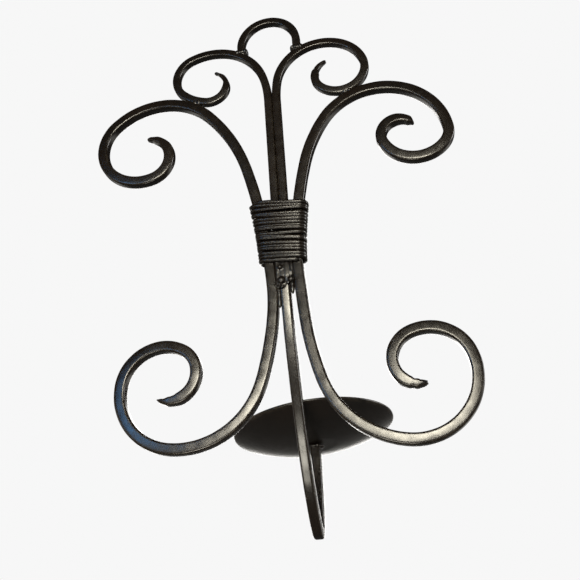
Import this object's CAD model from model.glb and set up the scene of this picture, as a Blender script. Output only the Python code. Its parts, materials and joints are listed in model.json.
import bmesh
import bpy
import json
import math
from mathutils import Matrix, Vector, noise


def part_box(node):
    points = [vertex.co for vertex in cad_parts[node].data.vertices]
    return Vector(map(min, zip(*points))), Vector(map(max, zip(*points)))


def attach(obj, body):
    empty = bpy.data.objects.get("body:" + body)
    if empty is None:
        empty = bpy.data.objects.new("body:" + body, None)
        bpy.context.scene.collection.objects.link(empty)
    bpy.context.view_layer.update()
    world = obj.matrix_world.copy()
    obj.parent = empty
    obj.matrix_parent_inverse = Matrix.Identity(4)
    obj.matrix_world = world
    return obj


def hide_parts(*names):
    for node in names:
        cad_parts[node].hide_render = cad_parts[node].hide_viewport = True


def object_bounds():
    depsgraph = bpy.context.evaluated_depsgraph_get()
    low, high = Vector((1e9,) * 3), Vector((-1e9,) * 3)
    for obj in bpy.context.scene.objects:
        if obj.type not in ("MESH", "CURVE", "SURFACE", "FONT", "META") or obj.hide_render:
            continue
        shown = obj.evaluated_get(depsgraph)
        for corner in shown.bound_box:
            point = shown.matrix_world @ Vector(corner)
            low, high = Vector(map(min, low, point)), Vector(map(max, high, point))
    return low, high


# A wrought-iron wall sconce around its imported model. Lengths are in millimetres until a mesh is
# made. Up is +Z and the wall is on the +Y side. Right is +X, as seen from the room.

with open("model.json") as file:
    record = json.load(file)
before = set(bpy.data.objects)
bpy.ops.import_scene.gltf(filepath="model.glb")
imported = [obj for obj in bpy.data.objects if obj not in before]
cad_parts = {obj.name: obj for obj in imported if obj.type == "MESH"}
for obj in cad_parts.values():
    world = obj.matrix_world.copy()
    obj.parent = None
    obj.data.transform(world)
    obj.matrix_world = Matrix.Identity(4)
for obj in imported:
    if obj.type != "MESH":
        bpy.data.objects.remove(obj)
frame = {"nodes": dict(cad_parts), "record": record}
cad_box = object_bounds()

MM = 0.001
UP = math.radians(90)
DOWN = math.radians(-90)
CLOCKWISE = -1
ANTICLOCKWISE = 1

# Bar stock and the places where the bars start
SIDE_BAR = 6.35
SIDE_CORNER = 1.2
INNER_BAR = 5.0
INNER_CORNER = 0.95
WAIST_DROP = 180.0
WAIST_STAGGER = 4.8
WAIST_HALF = 7.6
SPLIT_RISE = 122.3
# Just below the waist both side bars stand a little to the left
WAIST_SHIFT = 0.85
WAIST_SHIFT_DROP = 190.0
WAIST_SHIFT_REACH = 20.0
STEM_LENGTH = 99.0
LOOP_RADIUS = 17.5
LOOP_LEGS = {"right": 6.3, "left": 10.3}
ARM_RISE = 20.0
ARM_STRAIGHT = 48.6

# Binding wire
WIRE_RADIUS = 1.25
WIRE_PITCH = 2.15
WIRE_TURNS = 17.35
WIRE_RISE = 11.3
WIRE_TILT = math.radians(5)
WIRE_CORNER = 2.3
WIRE_SINK = 0.8
WIRE_INSET = 0.27
WIRE_DRIFT = 1.7
WIRE_HUMP = 0.5
# The first and last turns over which the wire lies calm
WIRE_CALM = 1.5
WIRE_STEPS = 44
WIRE_AROUND = 12
WIRE_UNEVEN = 0.02

# Candle dish
DISH_RIM = 46.5
DISH_SEAT = 12.0
DISH_SPHERE = 110.0
DISH_SHEET = 1.5
DISH_AROUND = 144
DISH_WALL_STEPS = 40
DISH_SEAT_STEPS = 6
DISH_LIP_STEPS = 8
DISH_UNEVEN = 0.3
DISH_RIPPLE = 0.12
DISH_WORN_BAND = 0.9

# Weld metal: the grid that merges its drops, and how far its skin is drawn in
WELD_GRID = 0.3
WELD_SOFTENING = 7
WELD_WOBBLE = 0.05
DISH_DROPS = 6
DISH_DROP_RING = 2.6
BEAD_DROPS = 4
GROOVE_DROPS = 8
GROOVE_TOP = 13.5

# Bending schedules: radius of the centre line and degrees turned, for each tangent bend
BENDS = {
    "right_upper": [(315, 15), (105, 25), (42, 90), (24, 70), (25, 85), (14.5, 97), (14.5, 65)],
    "right_lower": [(165, 10), (140, 10), (45, 80), (33, 90), (23, 115), (15, 118), (15, 55)],
    "left_upper": [(265, 15), (87, 20), (39, 140), (13.5, 50), (20.5, 115), (10.5, 96), (10.5, 70)],
    "left_lower": [(240, 15), (52, 65), (32, 120), (23, 90), (15.5, 85), (13.5, 32), (13.5, 55)],
    "right_inner": [(69, 15), (34, 95), (16, 115), (29.5, 30), (11, 79), (11, 95)],
    "left_inner": [(73, 10), (28.5, 105), (25, 45), (16, 155), (11.5, 45), (11.5, 70)],
    "arm": [(270, 27), (90, 18), (6, 125)],
}

# Each forged tip: how far along the last bend, the width in the scroll's plane, the depth across it
TIPS = {
    "right_upper": [(0, 6.35, 6.35), (0.55, 4.6, 6.0), (0.85, 3.0, 5.0), (1, 2.4, 4.2)],
    "left_upper": [(0, 6.35, 6.35), (0.7, 4.8, 6.0), (1, 1.8, 4.6)],
    "right_lower": [(0, 6.35, 6.35), (0.5, 4.9, 6.0), (0.8, 2.6, 5.2), (1, 1.0, 3.8)],
    "left_lower": [
        (0, 6.35, 6.35), (0.3, 5.8, 6.2), (0.45, 4.4, 6.0), (0.6, 4.9, 5.8), (0.75, 3.6, 5.4),
        (1, 2.4, 4.6),
    ],
    "right_inner": [(0, 5, 5), (0.6, 2.8, 4.2), (0.88, 1.5, 3.0), (0.94, 2.2, 3.2), (1, 1.7, 2.8)],
    "left_inner": [(0, 5, 5), (0.25, 4.6, 4.8), (0.4, 3.2, 4.4), (1, 2.0, 3.6)],
}

# The plain floor below the sconce, in metres
FLOOR = cad_box[0][2] - 0.19
FLOOR_HALF = 1.5

# Stations along a bar, and points round its section
STATION = 0.9
FEWEST_STEPS = 3
ARC_STEPS = 4
FLAT_POINTS = 6

# A forged face swells a little towards its middle. THINNED is the share of a bar's depth that is
# lost on the outside of its curl. The inside keeps its depth, and a straight run loses half as much.
CROWN = 0.014
THINNED = 0.14
# How many stations either side show which way a bar curls, and how soon that counts in full
CURL_REACH = 4
CURL_GAIN = 40

# Hammer marks: how closely they follow each other, and how deep each kind of bar is beaten
MARK_SPACING = 0.15
SEED_STEP = (13.7, 5.1, 9.3)
SIDE_BEATEN = 0.08
INNER_BEATEN = 0.05
LOOP_BEATEN = 0.04
ARM_BEATEN = 0.06
# The most of a bar's thickness that its corners and its dents may take
MOST_ROUNDED = 0.45
MOST_DENTED = 0.12

# A cut end narrows to this share of the bar or the wire over its last stations
END_STATIONS = 3
BAR_END = 0.65
WIRE_END = 0.4


def ease(value):
    """Smooth step from 0 to 1."""
    value = min(max(value, 0.0), 1.0)
    return value * value * (3 - 2 * value)


def rounded_end(from_end, least):
    """The share of full size a few stations from an end, rising in a quarter circle from least."""
    share = min(from_end, END_STATIONS) / END_STATIONS
    return math.sqrt(1 - (1 - share) ** 2) * (1 - least) + least


def bend_steps(radius, degrees):
    """How many stations a bend is divided into."""
    return max(FEWEST_STEPS, round(radius * math.radians(degrees) / STATION))


# ---------------------------------------------------------------- meshes


def make_piece(name, vertices, faces, nodes, edge=None):
    """A smooth-shaded piece from points in millimetres, standing for its CAD nodes."""
    mesh = bpy.data.meshes.new(name)
    mesh.from_pydata([Vector(point) * MM for point in vertices], [], faces)
    body = bmesh.new()
    body.from_mesh(mesh)
    bmesh.ops.recalc_face_normals(body, faces=body.faces)
    body.to_mesh(mesh)
    body.free()
    mesh.shade_smooth()
    layer = mesh.attributes.new("edge", "FLOAT", "POINT")
    layer.data.foreach_set("value", edge or [0.0] * len(vertices))
    piece = bpy.data.objects.new(name, mesh)
    bpy.context.scene.collection.objects.link(piece)
    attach(piece, "root")
    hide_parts(*nodes)
    return piece


def bridge(rings, size):
    """Quads between neighbouring rings, with a face over each end."""
    faces = [tuple(range(size)), tuple((rings - 1) * size + k for k in range(size))]
    for ring in range(rings - 1):
        for k in range(size):
            here = ring * size + k
            beside = ring * size + (k + 1) % size
            faces.append((here, beside, beside + size, here + size))
    return faces


def bend_line(start, heading, turn, bends):
    """Stations (across, up, heading) along tangent bends in one plane."""
    across, height = start
    stations = [(across, height, heading)]
    for radius, degrees in bends:
        count = bend_steps(radius, degrees)
        step = turn * math.radians(degrees) / count
        chord = 2 * radius * math.sin(abs(step) / 2)
        for _ in range(count):
            across += chord * math.cos(heading + step / 2)
            height += chord * math.sin(heading + step / 2)
            heading += step
            stations.append((across, height, heading))
    return stations


def straight_line(start, heading, length):
    """Stations along a straight run."""
    count = max(2, round(length / STATION))
    along = Vector((math.cos(heading), math.sin(heading))) * length / count
    return [(start[0] + along.x * k, start[1] + along.y * k, heading) for k in range(count + 1)]


def backwards(stations):
    """The same stations, travelled the other way."""
    return [(across, height, heading + math.pi) for across, height, heading in reversed(stations)]


def square_outline():
    """A rounded square as (side, side, angle, edge): straight faces between quarter-round corners."""
    corners = [(1, 1), (-1, 1), (-1, -1), (1, -1)]
    points = []
    for quarter, (side_a, side_b) in enumerate(corners):
        first = quarter * math.pi / 2
        for k in range(ARC_STEPS + 1):
            share = k / ARC_STEPS
            points.append((side_a, side_b, first + share * math.pi / 2, math.sin(share * math.pi)))
        next_a, next_b = corners[(quarter + 1) % 4]
        for k in range(1, FLAT_POINTS + 1):
            share = k / (FLAT_POINTS + 1)
            mixed_a = side_a + (next_a - side_a) * share
            mixed_b = side_b + (next_b - side_b) * share
            points.append((mixed_a, mixed_b, first + math.pi / 2, 0.0))
    return points


OUTLINE = square_outline()


def hammered(point, depth, seed):
    """How far a forged face is beaten in at a point, never outward."""
    shift = Vector([seed * step for step in SEED_STEP])
    broad = noise.noise(point * MARK_SPACING + shift)
    return max(depth * (0.6 + 0.9 * broad), 0)


def curl_side(stations, index):
    """Which side is the outside of the curl, 1 or -1 across the heading, fading where it is straight."""
    before = stations[max(index - CURL_REACH, 0)]
    after = stations[min(index + CURL_REACH, len(stations) - 1)]
    run = math.hypot(after[0] - before[0], after[1] - before[1])
    bend = (after[2] - before[2] + math.pi) % (2 * math.pi) - math.pi
    return max(min(-bend / run * CURL_GAIN, 1.0), -1.0)


def forged_bar(name, stations, sizes, corner, nodes, plane, level, beaten, seed):
    """A square bar swept through its stations. plane is the axis across, level the other place."""
    outer = [curl_side(stations, index) for index in range(len(stations))]
    vertices = []
    edge = []
    last = len(stations) - 1
    for index, (across, height, heading) in enumerate(stations):
        width, depth = sizes[index]
        round_off = min(corner, MOST_ROUNDED * min(width, depth))
        nose = rounded_end(min(index, last - index), BAR_END)
        for side_a, side_b, angle, sharp in OUTLINE:
            a = side_a * (width / 2 - round_off) + round_off * math.cos(angle)
            b = side_b * (depth / 2 - round_off) + round_off * math.sin(angle)
            across_face = 2 * a / width
            a *= 1 - CROWN * side_b**2
            b *= 1 - CROWN * side_a**2 - THINNED * (1 + outer[index] * across_face) / 2
            beside = -math.sin(heading), math.cos(heading)
            rough = Vector((across + beside[0] * a, level + b, height + beside[1] * a))
            dent = min(hammered(rough, beaten, seed), MOST_DENTED * min(width, depth))
            a = (a - dent * math.cos(angle)) * nose
            b = (b - dent * math.sin(angle)) * nose
            place = across + beside[0] * a, height + beside[1] * a
            if plane == "X":
                vertices.append((place[0], level + b, place[1]))
            else:
                vertices.append((level + b, place[0], place[1]))
            edge.append(sharp)
    faces = bridge(len(stations), len(OUTLINE))
    return make_piece(name, vertices, faces, nodes, edge)


def tip_sizes(bar, stock, stations):
    """Width and depth at each station of a scroll, drawn out along its last bend."""
    radius, degrees = BENDS[bar][-1]
    tip = bend_steps(radius, degrees)
    before = len(stations) - 1 - tip
    keys = TIPS[bar]
    sizes = []
    for index in range(len(stations)):
        share = (index - before) / tip
        if share <= 0:
            sizes.append((stock, stock))
            continue
        upper = next(k for k in range(1, len(keys)) if share <= keys[k][0] + 1e-9)
        low, high = keys[upper - 1], keys[upper]
        mix = ease((share - low[0]) / (high[0] - low[0]))
        sizes.append((low[1] + (high[1] - low[1]) * mix, low[2] + (high[2] - low[2]) * mix))
    return sizes


def beside_waist(stations):
    """The stations, standing a little to the left just below the waist."""
    moved = []
    for across, height, heading in stations:
        away = (height + WAIST_SHIFT_DROP) / WAIST_SHIFT_REACH
        moved.append((across - WAIST_SHIFT * math.exp(-(away**2)), height, heading))
    return moved


# ---------------------------------------------------------------- pieces


def side_bar(side, seed):
    """One continuous bar from its lower tip through the waist to its upper tip."""
    sign = 1 if side == "right" else -1
    turn = CLOCKWISE if side == "right" else ANTICLOCKWISE
    start = (sign * WAIST_HALF, -WAIST_DROP - sign * WAIST_STAGGER)
    upper = bend_line(start, UP, turn, BENDS[f"{side}_upper"])
    lower = bend_line(start, DOWN, -turn, BENDS[f"{side}_lower"])
    upper_sizes = tip_sizes(f"{side}_upper", SIDE_BAR, upper)
    lower_sizes = tip_sizes(f"{side}_lower", SIDE_BAR, lower)
    stations = beside_waist(backwards(lower) + upper[1:])
    sizes = list(reversed(lower_sizes)) + upper_sizes[1:]
    return forged_bar(
        f"{side}_scroll", stations, sizes, SIDE_CORNER, [f"{side}_scroll_bar"], "X",
        -SIDE_BAR / 2, SIDE_BEATEN, seed,
    )


def inner_bar(side, seed):
    """A thinner bar: the stem between the side bars, then its small scroll."""
    sign = 1 if side == "right" else -1
    turn = CLOCKWISE if side == "right" else ANTICLOCKWISE
    across = sign * INNER_BAR / 2
    split = SPLIT_RISE - WAIST_DROP
    stem = straight_line((across, split - STEM_LENGTH), UP, STEM_LENGTH)
    curl = bend_line((across, split), UP, turn, BENDS[f"{side}_inner"])
    sizes = [(INNER_BAR, INNER_BAR)] * (len(stem) - 1) + tip_sizes(f"{side}_inner", INNER_BAR, curl)
    return forged_bar(
        f"{side}_small_scroll", stem[:-1] + curl, sizes, INNER_CORNER,
        [f"{side}_inner_scroll"], "X", INNER_BAR / 2 - SIDE_BAR, INNER_BEATEN, seed,
    )


def loop(seed):
    """The arch that hangs on the nail, on its two legs."""
    middle = INNER_BAR / 2 - LOOP_RADIUS
    right = straight_line((LOOP_RADIUS, middle - LOOP_LEGS["right"]), UP, LOOP_LEGS["right"])
    arch = bend_line((LOOP_RADIUS, middle), UP, ANTICLOCKWISE, [(LOOP_RADIUS, 180)])
    left = straight_line((-LOOP_RADIUS, middle), DOWN, LOOP_LEGS["left"])
    stations = right[:-1] + arch + left[1:]
    sizes = [(INNER_BAR, INNER_BAR)] * len(stations)
    return forged_bar(
        "nail_loop", stations, sizes, INNER_CORNER, ["hanging_loop"], "X",
        INNER_BAR / 2 - SIDE_BAR, LOOP_BEATEN, seed,
    )


def arm(seed):
    """The bar from the binding down and forward, round its tight bend and up under the dish."""
    start = (-SIDE_BAR / 2, ARM_RISE - WAIST_DROP)
    down = bend_line(start, DOWN, CLOCKWISE, BENDS["arm"])
    rise = straight_line(down[-1][:2], down[-1][2], ARM_STRAIGHT)
    stations = down + rise[1:]
    sizes = [(SIDE_BAR, SIDE_BAR)] * len(stations)
    return forged_bar(
        "arm", stations, sizes, SIDE_CORNER, ["support_arm"], "Y", 0.0, ARM_BEATEN, seed
    )


def dish():
    """The pressed dish, turned about its own leaning axis, with a slightly uneven rolled edge."""
    centre = math.sqrt(DISH_SPHERE**2 - DISH_SEAT**2)
    inside = DISH_SPHERE - DISH_SHEET
    lip = math.asin(DISH_RIM / DISH_SPHERE)
    seat = math.asin(DISH_SEAT / DISH_SPHERE)
    inner_seat = math.acos((centre - DISH_SHEET) / inside)
    profile = [(DISH_SEAT * k / DISH_SEAT_STEPS, 0.0) for k in range(DISH_SEAT_STEPS + 1)]
    for k in range(1, DISH_WALL_STEPS + 1):
        angle = seat + (lip - seat) * k / DISH_WALL_STEPS
        profile.append((DISH_SPHERE * math.sin(angle), centre - DISH_SPHERE * math.cos(angle)))
    middle = DISH_SPHERE - DISH_SHEET / 2
    for k in range(1, DISH_LIP_STEPS):
        turn = lip - math.pi / 2 + math.pi * k / DISH_LIP_STEPS
        edge_x = middle * math.sin(lip) + DISH_SHEET / 2 * math.cos(turn)
        edge_z = centre - middle * math.cos(lip) + DISH_SHEET / 2 * math.sin(turn)
        profile.append((edge_x, edge_z))
    for k in range(DISH_WALL_STEPS + 1):
        angle = lip + (inner_seat - lip) * k / DISH_WALL_STEPS
        profile.append((inside * math.sin(angle), centre - inside * math.cos(angle)))
    inward = range(DISH_SEAT_STEPS - 1, -1, -1)
    profile += [(DISH_SEAT * k / DISH_SEAT_STEPS, DISH_SHEET) for k in inward]
    mount = next(m for m in frame["record"]["mounts"] if m["name"] == "candle_seat")
    axis = Vector(mount["axis"]).normalized()
    base = Vector(mount["pos_m"]) / MM - axis * DISH_SHEET
    lean = Vector((0, 0, 1)).rotation_difference(axis)
    vertices = []
    edge = []
    for radius, height in profile:
        for k in range(DISH_AROUND):
            angle = 2 * math.pi * k / DISH_AROUND
            spot = Vector((math.cos(angle), math.sin(angle), 0))
            uneven = 0.5 + 0.5 * noise.noise(spot * 1.7 + Vector((3, 1, 7)))
            ripple = noise.noise(spot * radius * 0.09 + Vector((9, 4, 2)))
            outward = radius / DISH_RIM
            point = spot * (radius - DISH_UNEVEN * uneven * outward**3)
            point.z = height + DISH_RIPPLE * ripple * outward * (1 - outward**6)
            vertices.append(base + lean @ point)
            edge.append(1.0 if radius > DISH_RIM - DISH_WORN_BAND else 0.0)
    # The two end faces are left off, since the first and last rings close to points
    faces = bridge(len(profile), DISH_AROUND)[2:]
    piece = make_piece("pressed_dish", vertices, faces, ["candle_dish"], edge)
    body = bmesh.new()
    body.from_mesh(piece.data)
    bmesh.ops.remove_doubles(body, verts=body.verts, dist=0.00001)
    bmesh.ops.recalc_face_normals(body, faces=body.faces)
    body.to_mesh(piece.data)
    body.free()
    piece.data.shade_smooth()
    return piece


def bar_edge(side, height):
    """How far from the middle plane a side bar's outer face stands near the waist."""
    sign = 1 if side == "right" else -1
    radius = BENDS[f"{side}_upper"][0][0]
    rise = height + WAIST_DROP + sign * WAIST_STAGGER
    return WAIST_HALF + radius - math.sqrt(radius**2 - rise**2) + SIDE_BAR / 2


def wire_point(travel):
    """A point of the winding's centre line. travel counts turns, clockwise as seen from above."""
    share = travel % 1.0
    calm = ease(travel / WIRE_CALM) * ease((WIRE_TURNS - travel) / WIRE_CALM)
    drift = WIRE_DRIFT * calm * noise.noise(Vector((travel * 1.37, 5.0, 2.0)))
    hump = WIRE_HUMP * ease((travel - WIRE_TURNS + 0.25) / 0.15)
    height = WIRE_RISE - WAIST_DROP + WIRE_PITCH * travel + drift + hump
    right = bar_edge("right", height) + WIRE_RADIUS
    left = bar_edge("left", height) + WIRE_RADIUS
    back = WIRE_RADIUS
    front = -SIDE_BAR - WIRE_RADIUS
    wide = right + left - 2 * WIRE_CORNER
    deep = back - front - 2 * WIRE_CORNER
    quarter = math.pi / 2 * WIRE_CORNER
    distance = share * (2 * wide + 2 * deep + 4 * quarter)
    corners = ((right, back, UP), (right, front, 0.0), (-left, front, DOWN), (-left, back, 2 * UP))
    x, y = -left + WIRE_CORNER, back
    runs = zip((wide, deep, wide, deep), ((1, 0), (0, -1), (-1, 0), (0, 1)), corners)
    for run, ahead, (corner_x, corner_y, first) in runs:
        along = min(distance, run)
        x += ahead[0] * along
        y += ahead[1] * along
        distance -= run
        if distance <= 0:
            break
        angle = first - min(distance, quarter) / WIRE_CORNER
        centre_x = corner_x - math.copysign(WIRE_CORNER, corner_x)
        centre_y = corner_y - math.copysign(WIRE_CORNER, corner_y - (back + front) / 2)
        x = centre_x + WIRE_CORNER * math.cos(angle)
        y = centre_y + WIRE_CORNER * math.sin(angle)
        distance -= quarter
        if distance <= 0:
            break
    under = max(0.0, noise.noise(Vector((travel * 1.9, 1.0, 8.0))))
    sunk = WIRE_SINK * ((x / WAIST_HALF / 2 + 0.15) ** 2 + 0.7 * under) + WIRE_INSET
    y -= math.copysign(sunk, y - (back + front) / 2)
    return Vector((x, y, height + x * math.tan(WIRE_TILT)))


def winding():
    """One wire wound round the stems, with rounded ends."""
    count = round(WIRE_TURNS * WIRE_STEPS)
    path = [wire_point(k / WIRE_STEPS) for k in range(count + 1)]
    vertices = []
    for index, point in enumerate(path):
        ahead = path[min(index + 1, count)] - path[max(index - 1, 0)]
        ahead.normalize()
        outward = ahead.cross(Vector((0, 0, 1))).normalized()
        upward = outward.cross(ahead)
        nose = rounded_end(min(index, count - index), WIRE_END)
        thick = WIRE_RADIUS * nose * (1 - WIRE_UNEVEN * (1 + noise.noise(point * 0.4)))
        for k in range(WIRE_AROUND):
            angle = 2 * math.pi * k / WIRE_AROUND
            vertices.append(point + outward * thick * math.cos(angle) + upward * thick * math.sin(angle))
    faces = bridge(len(path), WIRE_AROUND)
    return make_piece("wound_wire", vertices, faces, ["binding_wire"])


def weld(name, node, drops, seed):
    """Weld metal: overlapping drops merged into one lumpy bead.

    Each drop is its centre from the middle of the node's box, then its three half sizes."""
    low, high = (Vector(corner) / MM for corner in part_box(node))
    middle = (low + high) / 2
    body = bmesh.new()
    for numbers in drops:
        centre, half = Vector(numbers[:3]), numbers[3:]
        drop = bmesh.ops.create_icosphere(body, subdivisions=3, radius=1.0)
        for vertex in drop["verts"]:
            for axis in range(3):
                vertex.co[axis] = (middle[axis] + centre[axis] + vertex.co[axis] * half[axis]) * MM
    mesh = bpy.data.meshes.new(name)
    body.to_mesh(mesh)
    body.free()
    source = bpy.data.objects.new(name + "_source", mesh)
    bpy.context.scene.collection.objects.link(source)
    remesh = source.modifiers.new("merge", "REMESH")
    remesh.mode = "VOXEL"
    remesh.voxel_size = WELD_GRID * MM
    smooth = source.modifiers.new("soften", "SMOOTH")
    smooth.factor = 0.5
    smooth.iterations = WELD_SOFTENING
    evaluated = source.evaluated_get(bpy.context.evaluated_depsgraph_get())
    merged = bpy.data.meshes.new_from_object(evaluated)
    bpy.data.objects.remove(source)
    vertices = []
    for vertex in merged.vertices:
        point = vertex.co / MM
        wobble = noise.noise(point * 0.8 + Vector((seed, seed * 2, 0)))
        vertices.append(point - vertex.normal * WELD_WOBBLE * (1 + wobble))
    faces = [tuple(face.vertices) for face in merged.polygons]
    return make_piece(name, vertices, faces, [node])


# ---------------------------------------------------------------- materials


DARK = (0.0062, 0.0045, 0.0034)
WARM = (0.0105, 0.0068, 0.0046)
WORN = (0.042, 0.034, 0.025)


def noise_node(tree, coordinates, feature, detail, shift):
    """Procedural noise with features of a given size in millimetres."""
    node = tree.nodes.new("ShaderNodeTexNoise")
    node.noise_dimensions = "4D"
    node.inputs["W"].default_value = shift
    node.inputs["Scale"].default_value = 1 / (feature * MM)
    node.inputs["Detail"].default_value = detail
    tree.links.new(coordinates, node.inputs["Vector"])
    return node.outputs["Fac"]


def spread(tree, value, low, high, out_low, out_high):
    """Map low..high to out_low..out_high, clamped."""
    node = tree.nodes.new("ShaderNodeMapRange")
    for socket, number in zip(
        ("From Min", "From Max", "To Min", "To Max"), (low, high, out_low, out_high)
    ):
        node.inputs[socket].default_value = number
    tree.links.new(value, node.inputs["Value"])
    return node.outputs["Result"]


def blend_colour(tree, factor, first, second):
    """Mix two colours, each a fixed colour or a socket."""
    node = tree.nodes.new("ShaderNodeMix")
    node.data_type = "RGBA"
    tree.links.new(factor, node.inputs[0])
    for socket, colour in ((node.inputs[6], first), (node.inputs[7], second)):
        if isinstance(colour, tuple):
            socket.default_value = (*colour, 1)
        else:
            tree.links.new(colour, socket)
    return node.outputs[2]


def times(tree, first, second):
    """The product of two values."""
    node = tree.nodes.new("ShaderNodeMath")
    node.operation = "MULTIPLY"
    tree.links.new(first, node.inputs[0])
    tree.links.new(second, node.inputs[1])
    return node.outputs[0]


def bump(tree, height, strength, distance, before=None):
    """A bump of a given depth in millimetres, over an earlier one."""
    node = tree.nodes.new("ShaderNodeBump")
    node.inputs["Strength"].default_value = strength
    node.inputs["Distance"].default_value = distance * MM
    tree.links.new(height, node.inputs["Height"])
    if before is not None:
        tree.links.new(before, node.inputs["Normal"])
    return node.outputs["Normal"]


def iron_paint(name, roughness, hammer, peel, wear):
    """Satin black-brown paint over iron: mottled, orange-peeled, and rubbed thin on the edges.

    hammer and peel are the depths in millimetres of its broad and fine unevenness."""
    material = bpy.data.materials.new(name)
    material.use_nodes = True
    tree = material.node_tree
    shader = tree.nodes["Principled BSDF"]
    coordinates = tree.nodes.new("ShaderNodeTexCoord").outputs["Object"]
    broad = noise_node(tree, coordinates, 22, 4.0, 1.0)
    mottle = noise_node(tree, coordinates, 3.5, 3.0, 2.0)
    beaten = noise_node(tree, coordinates, 7.0, 0.0, 4.0)
    grain = noise_node(tree, coordinates, 1.6, 0.0, 3.0)
    colour = blend_colour(tree, spread(tree, broad, 0.35, 0.65, 0, 1), DARK, WARM)
    speckle = spread(tree, mottle, 0.58, 0.74, 0, 0.12)
    colour = blend_colour(tree, speckle, colour, WORN)
    edge = tree.nodes.new("ShaderNodeAttribute")
    edge.attribute_name = "edge"
    rubbed = times(tree, edge.outputs["Fac"], spread(tree, mottle, 0.4, 0.62, 0, wear))
    colour = blend_colour(tree, rubbed, colour, WORN)
    tree.links.new(colour, shader.inputs["Base Color"])
    satin = spread(tree, mottle, 0.3, 0.7, roughness - 0.03, roughness + 0.04)
    tree.links.new(satin, shader.inputs["Roughness"])
    normal = bump(tree, beaten, 0.5, hammer)
    normal = bump(tree, grain, 0.5, peel, normal)
    tree.links.new(normal, shader.inputs["Normal"])
    shader.inputs["Specular IOR Level"].default_value = 0.55
    return material


def paints():
    """The four finishes, by the record's material slot."""
    return {
        "bar_paint": iron_paint("bar_paint", 0.25, 0.10, 0.0015, 0.6),
        "dish_paint": iron_paint("dish_paint", 0.34, 0.025, 0.001, 0.5),
        "binding_wire": iron_paint("binding_wire", 0.27, 0.025, 0.001, 0.4),
        "weld_metal": iron_paint("weld_metal", 0.33, 0.05, 0.002, 0.6),
    }


# ---------------------------------------------------------------- stage


def make_camera():
    """The viewpoint: from the wall side, low down, looking up at the back of the sconce."""
    data = bpy.data.cameras.new("camera")
    data.sensor_width = 36.0
    data.lens = 54.79
    camera = bpy.data.objects.new("camera", data)
    turn = Matrix.Rotation(math.radians(189.72), 4, "Z")
    tilt = Matrix.Rotation(math.radians(114.94), 4, "X")
    roll = Matrix.Rotation(math.radians(-4.12), 4, "Z")
    place = Matrix.Translation(Vector((-75.9, 425.4, -387.6)) * MM)
    camera.matrix_world = place @ turn @ tilt @ roll
    bpy.context.scene.collection.objects.link(camera)
    bpy.context.scene.camera = camera


def soft_light(name, place, target, width, height, power, colour, beam):
    """A rectangular light that faces a point, with a beam in degrees. Places are in metres."""
    data = bpy.data.lights.new(name, "AREA")
    data.shape = "RECTANGLE"
    data.size = width
    data.size_y = height
    data.energy = power
    data.color = colour
    data.spread = math.radians(beam)
    light = bpy.data.objects.new(name, data)
    aim = (Vector(target) - Vector(place)).to_track_quat("-Z", "Y")
    light.visible_camera = False
    light.matrix_world = Matrix.Translation(Vector(place)) @ aim.to_matrix().to_4x4()
    bpy.context.scene.collection.objects.link(light)


def make_lights():
    """A low window behind the viewer, a faint cool one beside it, a card below, two on the room side."""
    middle = (0.0, -0.03, -0.2)
    low = (0.0, -0.04, -0.27)
    soft_light("window", (-0.02, 2.0, 0.14), middle, 0.66, 0.42, 2.7, (1.0, 0.93, 0.76), 50)
    soft_light("cool_window", (1.0, 1.9, 0.25), middle, 0.25, 0.5, 0.28, (0.16, 0.5, 1.0), 50)
    soft_light("bounce_card", (0.06, 0.25, FLOOR + 0.01), low, 0.16, 0.16, 0.13, (1.0, 0.95, 0.82), 60)
    soft_light("front_window", (0.35, -2.0, 0.35), middle, 1.3, 1.1, 5, (1.0, 0.98, 0.95), 70)
    soft_light("side_window", (-1.9, -0.5, 0.3), middle, 0.8, 0.9, 2.5, (1.0, 0.98, 0.95), 60)


def make_room():
    """A pale room to the viewer. To the sconce it is dim, and brightest level with it."""
    world = bpy.data.worlds.new("room")
    bpy.context.scene.world = world
    world.use_nodes = True
    tree = world.node_tree
    pale = tree.nodes["Background"]
    pale.inputs["Color"].default_value = (0.93, 0.93, 0.93, 1)
    dim = tree.nodes.new("ShaderNodeBackground")
    dim.inputs["Color"].default_value = (1.0, 0.97, 0.90, 1)
    direction = tree.nodes.new("ShaderNodeSeparateXYZ")
    tree.links.new(tree.nodes.new("ShaderNodeTexCoord").outputs["Generated"], direction.inputs[0])
    slope = tree.nodes.new("ShaderNodeMath")
    slope.operation = "ABSOLUTE"
    tree.links.new(direction.outputs["Z"], slope.inputs[0])
    glow = spread(tree, slope.outputs[0], 0.0, 0.24, 1.1, 0.012)
    tree.links.new(glow, dim.inputs["Strength"])
    mix = tree.nodes.new("ShaderNodeMixShader")
    rays = tree.nodes.new("ShaderNodeLightPath")
    tree.links.new(rays.outputs["Is Camera Ray"], mix.inputs["Fac"])
    tree.links.new(dim.outputs["Background"], mix.inputs[1])
    tree.links.new(pale.outputs["Background"], mix.inputs[2])
    tree.links.new(mix.outputs["Shader"], tree.nodes["World Output"].inputs["Surface"])


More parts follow.
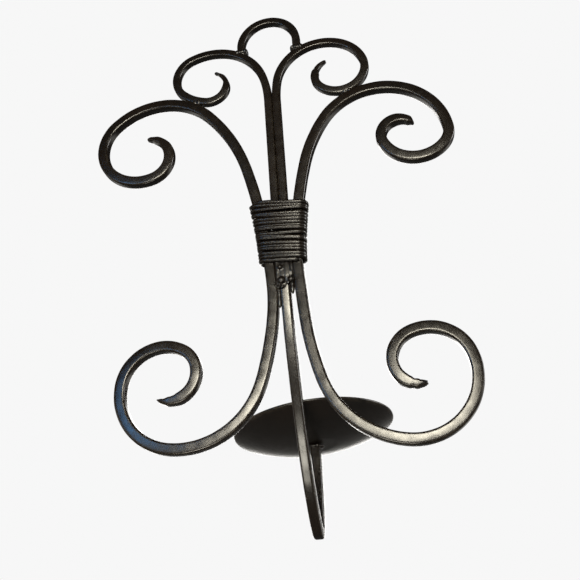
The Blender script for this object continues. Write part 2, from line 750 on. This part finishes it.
def make_floor():
    """A plain pale floor below the sconce, as bright to the viewer as the room behind it."""
    mesh = bpy.data.meshes.new("floor")
    ends = [(-1, -1), (1, -1), (1, 1), (-1, 1)]
    corners = [(across * FLOOR_HALF, along * FLOOR_HALF, FLOOR) for across, along in ends]
    mesh.from_pydata(corners, [], [(0, 1, 2, 3)])
    floor = bpy.data.objects.new("floor", mesh)
    bpy.context.scene.collection.objects.link(floor)
    material = bpy.data.materials.new("floor")
    material.use_nodes = True
    shader = material.node_tree.nodes["Principled BSDF"]
    shader.inputs["Base Color"].default_value = (0.16, 0.158, 0.154, 1)
    shader.inputs["Roughness"].default_value = 0.8
    shader.inputs["Emission Color"].default_value = (0.78, 0.78, 0.77, 1)
    rays = material.node_tree.nodes.new("ShaderNodeLightPath")
    material.node_tree.links.new(rays.outputs["Is Camera Ray"], shader.inputs["Emission Strength"])
    mesh.materials.append(material)


# ---------------------------------------------------------------- build


def bead_run(node, count):
    """Drops spread along the longest side of a node's box."""
    low, high = (Vector(corner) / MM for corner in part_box(node))
    size = high - low
    longest = max(range(3), key=lambda axis: size[axis])
    drops = []
    for k in range(count):
        centre = [0.0, 0.0, 0.0]
        centre[longest] = size[longest] * ((k + 0.5) / count - 0.5) * 0.9
        half = [size[axis] * (0.44 if k % 2 else 0.48) for axis in range(3)]
        half[longest] = size[longest] / count * 0.85
        drops.append((*centre, *half))
    return drops


def waist_drops(node):
    """A filled groove down to where the arm and the side bar part, with round drops on it."""
    low, high = (Vector(corner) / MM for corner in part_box(node))
    middle = (low + high) / 2
    groove = (high[2] - low[2]) / 2
    side = math.copysign(1, middle[0])
    # Each is across, towards the wall and up from the waist, then three half sizes
    marks = {
        1: [
            (1.5, 0.7, 7.5, 1.3, 0.9, 1.3), (1.3, 0.75, -0.5, 2.1, 1.35, 2.0),
            (5.6, 0.0, -1.6, 0.9, 0.7, 0.9), (4.6, 0.0, -3.0, 0.9, 0.7, 0.9),
            (3.2, 0.0, -4.4, 1.0, 0.8, 1.0), (1.0, -0.2, -4.0, 0.9, 0.8, 0.8),
            (0.4, -0.6, 4.0, 3.0, 0.9, 9.0),
        ],
        -1: [
            (-4.8, 0.3, 7.5, 0.8, 0.8, 3.2), (-4.0, 0.5, -0.5, 1.7, 1.2, 1.6),
            (-2.0, -0.2, -2.2, 0.9, 0.7, 0.9), (-1.6, -0.5, 5.0, 2.6, 0.9, 7.0),
        ],
    }[int(side)]
    waist = Vector((0, 0, -WAIST_DROP))
    drops = [(*(Vector(mark[:3]) + waist - middle), *mark[3:]) for mark in marks]
    rise = GROOVE_TOP - WAIST_DROP - middle[2] + groove
    for k in range(GROOVE_DROPS):
        height = -groove + rise * (k + 0.5) / GROOVE_DROPS
        depth = -0.4 if k >= GROOVE_DROPS / 2 else -1.5
        drops.append((-0.4, depth, height, 1.4, 1.1, rise / 5))
    return drops


def make_welds():
    """Every weld bead, as drops spread along its run. The dish's lie in a ring, a radian apart."""
    ring = []
    for k in range(DISH_DROPS):
        ring.append((DISH_DROP_RING * math.cos(k), DISH_DROP_RING * math.sin(k), 0.1, 2.4, 2.3, 1.3))
    drops = {
        "right_waist": waist_drops("right_waist_weld"),
        "left_waist": waist_drops("left_waist_weld"),
        "dish": ring,
    }
    for bead in ("right_loop", "left_loop", "right_contact", "left_contact"):
        drops[bead] = bead_run(f"{bead}_weld", BEAD_DROPS)
    return [
        weld(f"{bead}_bead", f"{bead}_weld", blobs, seed)
        for seed, (bead, blobs) in enumerate(drops.items())
    ]


def dress(pieces):
    """Give each piece its slot's paint, and the CAD nodes theirs."""
    finish = paints()
    slots = {row["node"]: row["material_slot"] for row in frame["record"]["subparts"]}
    for piece, slot in pieces:
        piece.data.materials.append(finish[slot])
    for name, node in frame["nodes"].items():
        node.data.materials.clear()
        node.data.materials.append(finish[slots[name]])


bpy.context.scene.view_settings.view_transform = "Standard"
make_camera()
make_lights()
make_room()
make_floor()
made = [(side_bar("right", 1), "bar_paint"), (side_bar("left", 2), "bar_paint")]
made += [(inner_bar("right", 3), "bar_paint"), (inner_bar("left", 4), "bar_paint")]
made += [(loop(5), "bar_paint"), (arm(6), "bar_paint")]
made += [(dish(), "dish_paint"), (winding(), "binding_wire")]
made += [(bead, "weld_metal") for bead in make_welds()]
dress(made)
